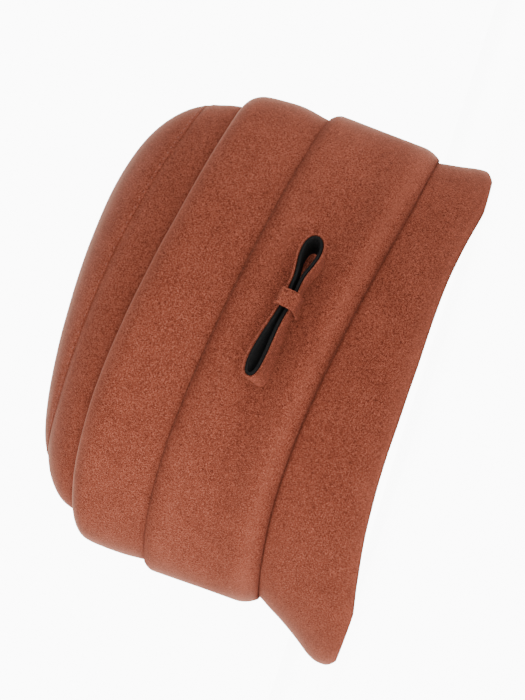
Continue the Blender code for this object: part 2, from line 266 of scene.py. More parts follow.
class HatSizes(bpy.types.PropertyGroup):
    """Sizes of the hat's cloths"""

    head_length: length("Head length", 0.2030, "Inside the head opening, front to back")
    head_width: length("Head width", 0.166, "Inside the head opening, side to side")
    hat_height: length("Hat height", 0.1637, "Table to the middle of the tip's cloth")
    peak_back: length("Peak back", 0.0115, "How far the tip's highest point lies back of its middle")
    rim_arch: length("Rim arch", 0.0082, "How far the rim rises at the sides")
    cloth: length("Cloth", 0.0015, "Thickness of the felt of the crown and the folds")
    brim_cloth: length("Brim cloth", 0.0024, "Thickness of the brim's doubled felt")
    gap: length("Gap", 0.0004, "Between two cloths that touch")
    seam_lap: length("Seam lap", 0.007, "How far the tip lies over the side wall")
    seam_step: length("Seam step", 0.0001, "How far the side wall draws in below the seam")
    shoulder_drop: length("Shoulder drop", 0.025, "Height of the upper fold's rounded shoulder")
    fold_turn: length("Fold turn", 0.0008, "Radius at which the upper fold turns over")
    upper_tuck: length("Upper tuck", 0.013, "Turned-under cloth of the upper fold")
    upper_lap: length("Upper lap", 0.012, "Upper fold hidden behind the lower fold")
    lower_tuck: length("Lower tuck", 0.013, "Turned-under cloth at the lower fold's top edge")
    lower_hem: length("Lower hem", 0.014, "Turned-under cloth at the lower fold's bottom edge")
    lower_roll: length("Lower roll", 0.0031, "How far the lower fold's face draws in to its bottom edge")
    roll_change: length("Roll change", 0.0002, "How much more that is at the front, and less at the back")
    top_edge: length("Top edge", 0.0040, "Height of the soft edge at the lower fold's top")
    side_softness: length("Side softness", 0.0038, "How much more that is at the sides")
    bottom_edge: length("Bottom edge", 0.0086, "Height of the soft edge at the lower fold's bottom")
    brim_lap: length("Brim lap", 0.011, "Brim hidden behind the lower fold")
    brim_lip: length("Brim lip", 0.0040, "How far the rim turns out at the sides")
    unevenness: length("Unevenness", 0.0003, "How far the hand-pressed felt strays from its even form")
    dent_size: length("Dent size", 0.045, "Usual width of such a stray")


class BowSizes(bpy.types.PropertyGroup):
    """Sizes of the bow"""

    azimuth: angle("Azimuth", 101, "From the hat's front, round its left side")
    height: share("Height", 0.50, "Share of the lower fold's height at which the knot sits")
    slope: angle("Slope", -4.0, "How far the bow turns from level, back loop down")
    front_lean: angle("Front lean", 27, "How far the strip's outer edge leans up at the front loop's end")
    knot_lean: angle("Knot lean", 9, "The same at the knot")
    back_lean: angle("Back lean", 10, "The same at the back loop's end")
    width: length("Width", 0.0105, "Width of the strip, which stands on edge")
    bend: length("Bend", 0.150, "Radius at which the loops follow the hat")
    felt: length("Felt", 0.0010, "Thickness of the outer strip")
    lining: length("Lining", 0.0012, "Thickness of the black strip")
    layer_gap: length("Layer gap", 0.0002, "Between two of the bow's strips")
    front_loop: length("Front loop", 0.0360, "Knot to the end of the front loop")
    back_loop: length("Back loop", 0.0310, "Knot to the end of the back loop")
    front_gap: length("Front opening", 0.0037, "Widest opening of the front loop")
    back_gap: length("Back opening", 0.0057, "Widest opening of the back loop")
    front_pinch: length("Front pinch", 0.0055, "How far from the knot the front loop stays pinched")
    back_pinch: length("Back pinch", 0.0086, "The same for the back loop")
    knot_gap: length("Knot opening", 0.0012, "Opening left where the keeper pinches the loops")
    keeper_width: length("Keeper width", 0.0079, "Width of the strip round the knot")
    keeper_felt: length("Keeper felt", 0.0010, "Thickness of the strip round the knot")
    keeper_corner: length("Keeper corner", 0.0016, "Corner radius of the keeper, at the middle of its felt")
    keeper_round: length("Keeper round", 0.0030, "The same at its outer corner towards the brim")
    keeper_curl: length("Keeper curl", 0.0009, "How far the keeper's lower front corner curls away")
    squeeze: length("Squeeze", 0.0010, "How much less the strips stand out where the keeper squeezes them")
    front_closing: share("Front closing", 0.85, "How far the front loop closes at its foot")
    back_closing: share("Back closing", 0.12, "The same for the back loop")
    back_foot: length("Back foot", 0.0046, "How much shorter the back loop is at its foot")
    widest: share("Widest", 0.80, "Share of a loop's length at which it is widest")


class ThreadSizes(bpy.types.PropertyGroup):
    """Sizes of the stitches along the tip's edge"""

    thickness: length("Thread", 0.00042, "Thickness of the sewing thread")
    stitch: length("Stitch", 0.0013, "Length of a stitch that shows")
    pitch: length("Pitch", 0.0036, "From one stitch to the next")
    inset: length("Inset", 0.0012, "From the tip's edge to its stitches")
    lift: length("Lift", 0.00022, "From the middle of the tip's felt out to the middle of a stitch")


class FeltColours(bpy.types.PropertyGroup):
    """Colours of the felts and the thread"""

    rust: colour("Rust", (0.262, 0.056, 0.028), "Felt of the crown, folds, brim and bow")
    # The deep and pale colours below also serve as the colours of the painted shade and the painted highlights
    rust_deep: colour("Rust, deep", (0.110, 0.022, 0.0105), "Hollows between the fibres")
    rust_pale: colour("Rust, pale", (0.54, 0.155, 0.094), "Tips of the fibres")
    thread: colour("Thread", (0.44, 0.135, 0.080), "Thread of the stitches")
    rust_edge: colour("Rust, edge", (0.262, 0.055, 0.026), "Cut edges, where the felt has no nap")
    # Painted highlight, mixed into the colour at the outline where the nap is seen edge on
    rust_outline_highlight: colour("Rust, fringe", (0.95, 0.52, 0.38), "Nap seen edge on, with the light through it")
    rust_sheen: colour("Rust, sheen", (1.0, 0.44, 0.30), "Light that the nap catches at a grazing angle")
    black: colour("Black", (0.006, 0.006, 0.006), "Lining of the bow")
    black_pale: colour("Black, pale", (0.016, 0.016, 0.016), "Tips of the lining's fibres")
    floor: colour("Floor", (0.90, 0.90, 0.90), "Plain pale floor")


def deselect():
    if bpy.context.object and bpy.context.object.mode != "OBJECT":
        bpy.ops.object.mode_set(mode="OBJECT")
    bpy.ops.object.select_all(action="DESELECT")


def hat_axis(hat):
    """The foot of the line down the middle of the head opening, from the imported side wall's box."""
    low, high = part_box("crown_side")
    return np.array(((low[0] + high[0]) / 2, low[1] + hat.head_length / 2 + hat.cloth, 0.0))


def series(values, azimuth):
    """A cosine series through values taken at equal steps from the front (azimuth 0) to the back."""
    steps = len(values) - 1
    ends = np.ones(steps + 1)
    ends[[0, -1]] = 0.5
    order = np.arange(steps + 1)
    waves = np.cos(np.outer(order, order) * math.pi / steps)
    weights = 2 / steps * (waves @ (np.array(values) * ends)) * ends
    return float(weights @ np.cos(order * azimuth))


def rim_height(hat, azimuth):
    return hat.rim_arch * series(RIM_HEIGHTS, azimuth)


def level(hat, name, azimuth):
    """The height of a main line round the hat. The rim's lies half a thickness above its cut edge."""
    if name == "rim":
        return rim_height(hat, azimuth) + hat.brim_cloth / 2
    return hat.hat_height * series(LEVELS[name], azimuth)


def outward(hat, azimuth):
    """The level direction square to the head oval."""
    direction = np.array((hat.head_length * math.sin(azimuth), -hat.head_width * math.cos(azimuth), 0.0))
    return direction / np.linalg.norm(direction)


def oval_point(hat, name, azimuth, out=0.0):
    """A point of a plan oval, moved out by a length."""
    oval = OVALS[name]
    middle = (oval.back - oval.front) * hat.head_length / 4
    reach = (oval.back + oval.front) * hat.head_length / 4
    x = oval.side * hat.head_width / 2 * math.sin(azimuth)
    y = middle - reach * math.cos(azimuth)
    return np.array((x, y, 0.0)) + out * outward(hat, azimuth)


def raised(point, height):
    return np.array((point[0], point[1], height))


def cloth_point(hat, name, azimuth, height):
    """The middle of a cloth whose inner face follows a plan oval, at a height."""
    return raised(oval_point(hat, name, azimuth, hat.cloth / 2), height)


def wall_rows(hat, azimuth):
    """The middle of the side wall's cloth at each row of the wall table."""
    rows = []
    for row in WALL:
        high, low = level(hat, row.above, azimuth), level(hat, row.below, azimuth)
        rows.append(cloth_point(hat, row.oval, azimuth, high + (low - high) * row.share))
    return rows


def wall_at(hat, azimuth, height, out=0.0):
    """The middle of the side wall's cloth at a height, moved out by a length."""
    rows = np.array(wall_rows(hat, azimuth))[::-1]
    x, y = (np.interp(height, rows[:, 2], rows[:, axis]) for axis in (0, 1))
    return np.array((x, y, height)) + out * outward(hat, azimuth)


def tip_point(hat, azimuth, reach):
    """A point of the tip's cloth at a share of the way from its middle to the seam."""
    edge = cloth_point(hat, "tip_seam", azimuth, level(hat, "tip_seam", azimuth))
    oval = OVALS["tip_seam"]
    middle = np.array((0.0, (oval.back - oval.front) * hat.head_length / 4 + hat.peak_back, hat.hat_height))
    fall = sum(term.share * reach**term.power for term in DOME)
    point = middle + (edge - middle) * reach
    point[2] = hat.hat_height + (edge[2] - hat.hat_height) * fall
    return point


def tip_normal(hat, azimuth, reach):
    step = 0.001
    along = tip_point(hat, azimuth, reach + step) - tip_point(hat, azimuth, reach - step)
    sideways = tip_point(hat, azimuth + step, reach) - tip_point(hat, azimuth - step, reach)
    normal = np.cross(along, sideways)
    return normal / np.linalg.norm(normal)


def side_section(hat, azimuth):
    """From under the tip, out to the seam and down inside the folds to the head opening."""
    seam_reach = np.linalg.norm(tip_point(hat, azimuth, 1.0) - tip_point(hat, azimuth, 0.0))
    points = []
    for row in LAP:
        reach = 1 + hat.seam_lap / seam_reach * row.share
        points.append(tip_point(hat, azimuth, reach) - row.depth * tip_normal(hat, azimuth, reach))
    rows = wall_rows(hat, azimuth)
    joggle = rows[0] + (rows[1] - rows[0]) * JOGGLE_SHARE
    points.append(joggle - hat.seam_step * outward(hat, azimuth))
    points.extend(rows[1:])
    return points


def quarter_turn(hat, start, radius, azimuth):
    """Points of the quarter circle of cloth that turns from straight up to straight out."""
    points = []
    for step in range(1, QUARTER_STEPS + 1):
        turn = math.pi / 2 * step / QUARTER_STEPS
        out = (1 - math.cos(turn)) * outward(hat, azimuth)
        points.append(start + radius * (out + (0, 0, math.sin(turn))))
    return points


def upper_fold_section(hat, azimuth):
    """Up along the wall, over the fold's edge, round its shoulder and down behind the lower fold."""
    layer = hat.cloth + hat.gap
    edge = level(hat, "fold_edge", azimuth) - hat.cloth / 2
    crease = wall_at(hat, azimuth, edge - hat.fold_turn, layer)
    points = [wall_at(hat, azimuth, edge - hat.upper_tuck, layer), crease]
    points.extend(quarter_turn(hat, crease, hat.fold_turn, azimuth))
    top = points[-1]
    face = cloth_point(hat, "upper_fold", azimuth, edge - hat.shoulder_drop)
    for row in SHOULDER:
        point = top + (face - top) * row.out
        point[2] = top[2] + (face[2] - top[2]) * row.drop
        points.append(point)
    points.append(cloth_point(hat, "under_band", azimuth, level(hat, "band_top", azimuth)))
    points.append(points[-1] - (0, 0, hat.upper_lap))
    return points


def pillow_edge(crease, face):
    """Points of a fold's soft edge, from the crease where it lies close to where its face runs straight."""
    points = []
    for step in range(EDGE_STEPS + 1):
        place = step / EDGE_STEPS
        point = crease + (face - crease) * (1 - (1 - place) ** 2)
        point[2] = crease[2] + (face[2] - crease[2]) * place
        points.append(point)
    return points


def brim_root(hat, azimuth, out=0.0):
    """The middle of the brim's cloth where it lies on the side wall, moved out by a length."""
    return oval_point(hat, "brim_root", azimuth, hat.cloth + hat.gap + hat.brim_cloth / 2 + out)


def lower_roll(hat, azimuth):
    return hat.lower_roll + hat.roll_change * math.cos(azimuth)


def top_edge(hat, azimuth):
    return hat.top_edge + hat.side_softness * math.sin(azimuth) ** 2


def band_face(hat, azimuth):
    """The middle of the lower fold's outer cloth where its face runs into its two soft edges."""
    top = level(hat, "band_top", azimuth) - hat.cloth / 2 - top_edge(hat, azimuth)
    bottom = level(hat, "band_bottom", azimuth) + hat.cloth / 2 + hat.bottom_edge
    outer = oval_point(hat, "under_band", azimuth, hat.cloth / 2 + 2 * (hat.cloth + hat.gap))
    foot = brim_root(hat, azimuth, hat.brim_cloth / 2 + hat.gap + hat.cloth / 2 + lower_roll(hat, azimuth))
    return raised(outer, top), raised(foot, bottom)


def swollen(swells, place):
    """How far out a face's swells and hollows bring it, at a share of its height."""
    return sum(swell.out * math.exp(-(((place - swell.share) / swell.width) ** 2)) for swell in swells)


def lower_fold_section(hat, azimuth):
    """Up along the upper fold, over the top edge, down the face and under it up along the brim."""
    top, foot = band_face(hat, azimuth)
    away = outward(hat, azimuth)
    top_crease = top - (hat.cloth + hat.gap) * away + (0, 0, top_edge(hat, azimuth))
    bottom_crease = foot - lower_roll(hat, azimuth) * away - (0, 0, hat.bottom_edge)
    points = [top_crease - (0, 0, hat.lower_tuck), *pillow_edge(top_crease, top)]
    side = math.sin(azimuth) ** 2
    for row in range(1, FACE_ROWS):
        place = row / FACE_ROWS
        points.append(top + (foot - top) * place + side * swollen(FACE_SWELLS, place) * away)
    points.extend(pillow_edge(bottom_crease, foot)[::-1])
    points.append(bottom_crease + (0, 0, hat.lower_hem))
    return points


def brim_section(hat, azimuth):
    """From behind the lower fold down to the rim."""
    start = raised(brim_root(hat, azimuth), level(hat, "band_bottom", azimuth))
    rim = raised(oval_point(hat, "rim", azimuth, hat.brim_cloth / 2), rim_height(hat, azimuth))
    points = [start + (0, 0, hat.brim_lap), start]
    lip = hat.brim_lip * math.sin(azimuth) ** 2 * outward(hat, azimuth)
    for row in FLARE:
        point = start + (rim - start) * row.flare + lip * row.lip
        point[2] = start[2] + (rim[2] - start[2]) * row.fall
        points.append(point)
    return points


def between(t, start, end, first, last):
    """The point at t on the straight line that is at one point at the start and at another at the end."""
    return ((end - t) * first + (t - start) * last) / (end - start)


def curve_through(points, counts):
    """A smooth line through points, with a number of cells between each two."""
    points = np.array(points)
    knots = np.concatenate([[0], np.cumsum(np.sqrt(np.linalg.norm(np.diff(points, axis=0), axis=1)))])
    first = 2 * points[0] - points[1]
    last = 2 * points[-1] - points[-2]
    points = np.vstack([first, points, last])
    knots = np.concatenate([[2 * knots[0] - knots[1]], knots, [2 * knots[-1] - knots[-2]]])
    line = []
    for span, count in enumerate(counts):
        t0, t1, t2, t3 = knots[span : span + 4]
        p0, p1, p2, p3 = points[span : span + 4]
        for step in range(count):
            t = t1 + (t2 - t1) * step / count
            middle = between(t, t1, t2, p1, p2)
            before = between(t, t0, t2, between(t, t0, t1, p0, p1), middle)
            after = between(t, t1, t3, middle, between(t, t2, t3, p2, p3))
            line.append(between(t, t1, t2, before, after))
    line.append(points[-2])
    return np.array(line)


def cells_between(sections):
    """How many cells each span of the sections takes, from its mean length."""
    sections = np.array(sections)
    lengths = np.linalg.norm(np.diff(sections, axis=1), axis=2).mean(axis=0)
    return [max(1, round(span / CELL)) for span in lengths]


def with_edge_rows(line):
    """The line with one more point close to each end, so that a cut edge stays crisp."""
    first = line[0] + (line[1] - line[0]) * EDGE_ROW / np.linalg.norm(line[1] - line[0])
    last = line[-1] + (line[-2] - line[-1]) * EDGE_ROW / np.linalg.norm(line[-2] - line[-1])
    return np.vstack([line[:1], first, line[1:-1], last, line[-1:]])


def cloth_columns(hat, section):
    """The sections all round the hat, each a smooth line of equally many points."""
    sections = [section(hat, 2 * math.pi * step / AROUND) for step in range(AROUND)]
    fewest = min(len(points) for points in sections)
    if any(len(points) != fewest for points in sections):
        raise RuntimeError("the cloth's sections have unlike numbers of points")
    counts = cells_between(sections)
    return np.array([with_edge_rows(curve_through(points, counts)) for points in sections])


def uneven(hat, points):
    """The points strayed a little, alike for all cloths at the same place, so that their gaps stay."""
    noise.seed_set(DENT_SEED)
    strayed = []
    for point in points:
        place = Vector(point) / hat.dent_size
        stray = noise.noise_vector(place) + FINE_DENT_DEPTH * noise.noise_vector(place * FINE_DENT_SCALE)
        strayed.append(np.array(point) + hat.unevenness * np.array(stray))
    return np.array(strayed)


def wrapped_grid(name, columns):
    """A flat grid of cloth whose columns are bent to the given lines and whose two ends meet."""
    deselect()
    down = len(columns[0]) - 1
    bpy.ops.mesh.primitive_grid_add(x_subdivisions=len(columns), y_subdivisions=down, size=2)
    obj = bpy.context.object
    obj.name = obj.data.name = name
    for vert in obj.data.vertices:
        column = round((vert.co.x + 1) / 2 * len(columns)) % len(columns)
        row = down - round((vert.co.y + 1) / 2 * down)
        vert.co = columns[column][row]
    bpy.ops.object.mode_set(mode="EDIT")
    bpy.ops.mesh.select_all(action="SELECT")
    bpy.ops.mesh.remove_doubles(threshold=MERGE_DISTANCE)
    bpy.ops.object.mode_set(mode="OBJECT")
    return obj


def paint_light_and_shade(hat, obj, marks):
    """Writes on each point of the cloth its painted light and shade: a painted highlight above 0, on the edges
    also rubbed nap, and painted shade below 0.
    """
    places = np.zeros(3 * len(obj.data.vertices))
    obj.data.vertices.foreach_get("co", places)
    x, y, z = (places.reshape(-1, 3) - hat_axis(hat)).T
    azimuths = np.arctan2(np.abs(x) / hat.head_width, -y / hat.head_length)
    table = np.linspace(0, math.pi, AROUND + 1)
    values = np.zeros(len(z))
    for mark in marks:
        lines = [[level(hat, name, azimuth) for azimuth in table] for name in (mark.above, mark.below)]
        above, below = np.array(lines)
        line = above + (below - above) * mark.share
        away = np.abs(z - np.interp(azimuths, table, line)) / mark.reach
        left = 1.0 if mark.strength > 0 else MARK_ENDS
        values += mark.strength * np.exp(-(away**mark.power)) * (left + (1 - left) * np.sin(azimuths) ** 2)
    obj.data.attributes.new("tone", "FLOAT", "POINT").data.foreach_set("value", values)


def thicken(obj, thickness, felts, thinned=None):
    """Gives a cloth its felt and thickness, less where a vertex group says so, then rounds it."""
    for felt in felts:
        obj.data.materials.append(felt)
    shell = obj.modifiers.new("cloth", "SOLIDIFY")
    shell.thickness = thickness
    shell.offset = 0.0
    shell.use_even_offset = not thinned
    shell.material_offset_rim = len(felts) - 1
    if thinned:
        shell.vertex_group = thinned
        shell.thickness_vertex_group = TIP_THINNING
    bpy.ops.object.modifier_apply(modifier=shell.name)
    rounding = obj.modifiers.new("rounding", "SUBSURF")
    rounding.levels = rounding.render_levels = 1
    bpy.ops.object.modifier_apply(modifier=rounding.name)
    bpy.ops.object.shade_smooth()


def press_on_table(obj):
    """Presses flat what would reach below the table."""
    for vert in obj.data.vertices:
        vert.co.z = max(vert.co.z, 0.0)


def finish_piece(obj, node):
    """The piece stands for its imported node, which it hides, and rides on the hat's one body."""
    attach(obj, "root")
    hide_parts(node)


def new_material(name, roughness):
    """A new material, with its nodes, links and shader."""
    material = bpy.data.materials.new(name)
    material.use_nodes = True
    nodes, links = material.node_tree.nodes, material.node_tree.links
    shader = nodes["Principled BSDF"]
    shader.inputs["Roughness"].default_value = roughness
    return material, nodes, links, shader


def two_tones(nodes, links, shader, pattern, first, second):
    """Colours the shader from one tone to another, as a pattern on the piece's own coordinates runs."""
    place = nodes.new("ShaderNodeTexCoord")
    ramp = nodes.new("ShaderNodeValToRGB")
    for element, tone in zip(ramp.color_ramp.elements, (first, second)):
        element.color = (*tone, 1.0)
    links.new(place.outputs["Object"], pattern.inputs["Vector"])
    links.new(pattern.outputs["Fac"], ramp.inputs["Fac"])
    links.new(ramp.outputs["Color"], shader.inputs["Base Color"])


def felt_material(name, deep, middle, pale, sheen_tint, sheen_weight, outline_highlight=None):
    """Felt: a mottled colour, fibres that catch the light, a fine fuzzy relief, a pale grazing sheen, the
    cloth's painted light and shade and, if asked for, a painted highlight at the outline.
    """
    found = bpy.data.materials.get(name)
    if found:
        return found
    material, nodes, links, shader = new_material(name, FELT_ROUGHNESS)
    shader.inputs["Specular IOR Level"].default_value = FELT_GLOSS
    shader.inputs["Sheen Weight"].default_value = sheen_weight
    shader.inputs["Sheen Roughness"].default_value = SHEEN_ROUGHNESS
    shader.inputs["Sheen Tint"].default_value = (*sheen_tint, 1.0)

    place = nodes.new("ShaderNodeTexCoord")

    def noise_node(grain):
        node = nodes.new("ShaderNodeTexNoise")
        for socket, value in zip(("Scale", "Detail", "Roughness", "Distortion"), grain):
            node.inputs[socket].default_value = value
        links.new(place.outputs["Object"], node.inputs["Vector"])
        return node.outputs["Fac"]

    def math_node(operation, first, second):
        node = nodes.new("ShaderNodeMath")
        node.operation = operation
        for socket, value in zip(node.inputs, (first, second)):
            if isinstance(value, float):
                socket.default_value = value
            else:
                links.new(value, socket)
        return node.outputs["Value"]

    fibres = math_node("MULTIPLY", noise_node(FIBRES), FIBRE_SHARE)
    lint = math_node("MULTIPLY", noise_node(LINT), LINT_SHARE)
    speckle = math_node("ADD", fibres, lint)
    clouds = math_node("SUBTRACT", noise_node(CLOUDS), 0.5)
    mottled = math_node("ADD", speckle, math_node("MULTIPLY", clouds, CLOUD_SHARE))

    ramp = nodes.new("ShaderNodeValToRGB")
    ends = ramp.color_ramp.elements
    for element, position, tone in zip(ends, (DEEP_PLACE, PALE_PLACE), (deep, pale)):
        element.position = position
        element.color = (*tone, 1.0)
    ends.new(MIDDLE_PLACE).color = (*middle, 1.0)
    links.new(mottled, ramp.inputs["Fac"])

    def mixed(first, second, factor):
        node = nodes.new("ShaderNodeMix")
        node.data_type = "RGBA"
        node.inputs["B"].default_value = (*second, 1.0)
        links.new(factor, node.inputs["Factor"])
        links.new(first, node.inputs["A"])
        return node.outputs["Result"]

    # Painted light and shade: the cloth's marks mix the colour to pale for a painted highlight and to deep for
    # painted shade
    painted_light_shade = nodes.new("ShaderNodeAttribute")
    painted_light_shade.attribute_name = "tone"
    with_painted_highlight = mixed(ramp.outputs["Color"], pale, painted_light_shade.outputs["Fac"])
    surface = mixed(with_painted_highlight, deep, math_node("MULTIPLY", painted_light_shade.outputs["Fac"], -1.0))
    # Painted highlight: towards the outline the colour is mixed to a pale colour, less so where painted shade
    # lies
    if outline_highlight:
        glance = nodes.new("ShaderNodeLayerWeight")
        outside_painted_shade = math_node("ADD", math_node("MULTIPLY", painted_light_shade.outputs["Fac"], OUTLINE_HIGHLIGHT_FADING), 1.0)
        outside_painted_shade.node.use_clamp = True
        outline = math_node("POWER", glance.outputs["Facing"], OUTLINE_HIGHLIGHT_POWER)
        outline = math_node("MULTIPLY", outline, outside_painted_shade)
        surface = mixed(surface, outline_highlight, outline)
    links.new(surface, shader.inputs["Base Color"])

    relief = nodes.new("ShaderNodeBump")
    relief.inputs["Strength"].default_value = 1.0
    relief.inputs["Distance"].default_value = RELIEF_DEPTH
    links.new(speckle, relief.inputs["Height"])
    links.new(relief.outputs["Normal"], shader.inputs["Normal"])
    return material


def rust_felts(context):
    """The rust felt's surface, with a painted highlight at its outline, and its denser cut edge."""
    look = context.scene.felt_colours
    nap = (look.rust_deep, look.rust, look.rust_pale, look.rust_sheen)
    cut = (look.rust_deep, look.rust_edge, look.rust_pale, look.rust_sheen)
    surface = felt_material("rust_felt_cloth", *nap, NAP_SHEEN, look.rust_outline_highlight)
    edge = felt_material("rust_felt_edge", *cut, PRESSED_SHEEN)
    return surface, edge


def ribbon_felts(context):
    """The bow's rust felt, pressed smoother than the hat's."""
    look = context.scene.felt_colours
    nap = (look.rust_deep, look.rust, look.rust_pale, look.rust_sheen)
    return (felt_material("rust_felt_ribbon", *nap, PRESSED_SHEEN),)


def black_felts(context):
    """The bow's black felt, which has no sheen."""
    look = context.scene.felt_colours
    colours = (look.black, look.black_pale, look.black_pale)
    return (felt_material("black_felt_cloth", *colours, look.black_pale, 0.0),)


def make_hat_cloth(context, name, node, section, thickness, marks):
    """One felt cloth of the hat, with the same section all round it, and its painted light and shade."""
    hat = context.scene.hat_sizes
    axis = hat_axis(hat)
    columns = cloth_columns(hat, section)
    shape = columns.shape
    columns = uneven(hat, columns.reshape(-1, 3)).reshape(shape) + axis
    obj = wrapped_grid(name, columns)
    thicken(obj, thickness, rust_felts(context))
    paint_light_and_shade(hat, obj, marks)
    finish_piece(obj, node)
    return obj


class HAT_OT_tip(bpy.types.Operator):
    """Make the oval tip of the crown"""

    bl_idname = "hat.tip"
    bl_label = "Tip"

    def execute(self, context):
        hat = context.scene.hat_sizes
        deselect()
        bpy.ops.mesh.primitive_grid_add(x_subdivisions=TIP_CELLS, y_subdivisions=TIP_CELLS, size=2)
        obj = context.object
        obj.name = obj.data.name = "tip_cloth"
        reaches, places = [], []
        for vert in obj.data.vertices:
            x = vert.co.x * math.sqrt(1 - vert.co.y**2 / 2)
            y = vert.co.y * math.sqrt(1 - vert.co.x**2 / 2)
            reaches.append(min(1.0, math.hypot(x, y)))
            places.append(tip_point(hat, math.atan2(x, -y), reaches[-1]))
        places = uneven(hat, places) + hat_axis(hat)
        full = obj.vertex_groups.new(name="full_thickness")
        for vert, reach, place in zip(obj.data.vertices, reaches, places):
            weight = min(1.0, (1 - reach) / TIP_THIN_RING)
            full.add([vert.index], weight * weight * (3 - 2 * weight), "REPLACE")
            vert.co = place
        area = sum(face.area for face in obj.data.polygons)
        thicken(obj, hat.cloth, rust_felts(context)[:1], thinned="full_thickness")
        finish_piece(obj, "crown_tip")
        oval = OVALS["tip_seam"]
        rise = hat.hat_height * (1 - series(LEVELS["tip_seam"], math.pi / 2))
        wide = oval.side * hat.head_width + hat.cloth + rise
        long = (oval.front + oval.back) / 2 * hat.head_length + hat.cloth + rise
        area = min(area, wide * long)
        return {"FINISHED"}


def thread_material(look):
    """Twisted sewing thread."""
    material, nodes, links, shader = new_material("rust_thread", THREAD_ROUGHNESS)
    shader.inputs["Sheen Weight"].default_value = THREAD_SHEEN
    twist = nodes.new("ShaderNodeTexWave")
    twist.inputs["Scale"].default_value = THREAD_TWIST
    two_tones(nodes, links, shader, twist, look.rust, look.thread)
    return material


class HAT_OT_stitches(bpy.types.Operator):
    """Sew the small stitches along the tip's edge"""

    bl_idname = "hat.stitches"
    bl_label = "Stitches"

    def execute(self, context):
        hat, thread = context.scene.hat_sizes, context.scene.thread_sizes
        edge = [Vector(tip_point(hat, 2 * math.pi * step / AROUND, 1.0)) for step in range(AROUND)]
        around = sum((point - edge[step - 1]).length for step, point in enumerate(edge))
        count = round(around / thread.pitch)
        deselect()
        bpy.ops.mesh.primitive_uv_sphere_add(segments=6, ring_count=5, radius=0.5)
        first = context.object
        first.name = first.data.name = "tip_stitches"
        bpy.ops.object.mode_set(mode="EDIT")
        bpy.ops.transform.resize(value=(thread.thickness, thread.stitch, thread.thickness))
        bpy.ops.object.mode_set(mode="OBJECT")
        pieces = [first]
        for _ in range(count - 1):
            copy = first.copy()
            copy.data = first.data.copy()
            context.scene.collection.objects.link(copy)
            pieces.append(copy)
        reach = 1 - thread.inset / (edge[0] - Vector(tip_point(hat, 0.0, 0.0))).length
        places = [tip_point(hat, 2 * math.pi * step / count, reach) for step in range(count)]
        normals = [Vector(tip_normal(hat, 2 * math.pi * step / count, reach)) for step in range(count)]
        places = [Vector(place) for place in uneven(hat, places) + hat_axis(hat)]
        for step, piece in enumerate(pieces):
            out = normals[step]
            along = (places[(step + 1) % count] - places[step - 1]).normalized()
            across = along.cross(out).normalized()
            turn = Matrix((across, along, across.cross(along))).transposed()
            piece.data.transform(Matrix.Translation(places[step] + thread.lift * out) @ turn.to_4x4())
            piece.select_set(True)
        bpy.ops.object.join()
        bpy.ops.object.shade_smooth()
        first.data.materials.append(thread_material(context.scene.felt_colours))
        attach(first, "root")
        return {"FINISHED"}


class HAT_OT_side(bpy.types.Operator):
    """Make the crown's side wall"""

    bl_idname = "hat.side"
    bl_label = "Side"

    def execute(self, context):
        cloth = context.scene.hat_sizes.cloth
        make_hat_cloth(context, "side_cloth", "crown_side", side_section, cloth, CROWN_PAINTED_SHADE)
        return {"FINISHED"}


class HAT_OT_upper_fold(bpy.types.Operator):
    """Make the upper folded tier"""

    bl_idname = "hat.upper_fold"
    bl_label = "Upper fold"

    def execute(self, context):
        cloth = context.scene.hat_sizes.cloth
        make_hat_cloth(
            context, "upper_fold_cloth", "upper_fold", upper_fold_section, cloth, UPPER_PAINTED_LIGHT_SHADE
        )
        return {"FINISHED"}


class HAT_OT_lower_fold(bpy.types.Operator):
    """Make the lower folded tier with its soft rolled edge"""

    bl_idname = "hat.lower_fold"
    bl_label = "Lower fold"

    def execute(self, context):
        cloth = context.scene.hat_sizes.cloth
        make_hat_cloth(
            context, "lower_fold_cloth", "lower_fold", lower_fold_section, cloth, LOWER_PAINTED_LIGHT_SHADE
        )
        return {"FINISHED"}


class HAT_OT_brim(bpy.types.Operator):
    """Make the flared brim and press it flat where it rests"""

    bl_idname = "hat.brim"
    bl_label = "Brim"

    def execute(self, context):
        cloth = context.scene.hat_sizes.brim_cloth
        obj = make_hat_cloth(context, "brim_cloth", "brim", brim_section, cloth, BRIM_PAINTED_LIGHT_SHADE)
        press_on_table(obj)
        return {"FINISHED"}


def bow_seat(hat, bow):
    """The bow's place on the lower fold, and its turn: X along it to the back, Y up the fold, Z out."""
    top, foot = band_face(hat, bow.azimuth)
    up = Vector(top - foot).normalized()
    back = up.cross(Vector(outward(hat, bow.azimuth))).normalized()
    out = back.cross(up)
    place = Vector(foot + (top - foot) * bow.height) + (hat.cloth / 2 + hat.gap) * out
    turn = Matrix((back, up, out)).transposed() @ Matrix.Rotation(bow.slope, 3, "Z")
    return Vector(hat_axis(hat)) + place, turn


def loop_opening(bow, place, gap, pinch, reach):
    """Half the opening of a loop at a share of the way from the knot to its end."""
    pinched = pinch / reach
    swell = np.clip((place - pinched) / (bow.widest - pinched), 0.0, 1.0)
    swell = math.sin(math.pi / 2 * swell) ** 2
    narrowing = max(0.0, (place - bow.widest) / (1 - bow.widest))
    return (bow.knot_gap + (gap - bow.knot_gap) * swell) / 2 * math.sqrt(1 - narrowing**LOOP_END_POWER)


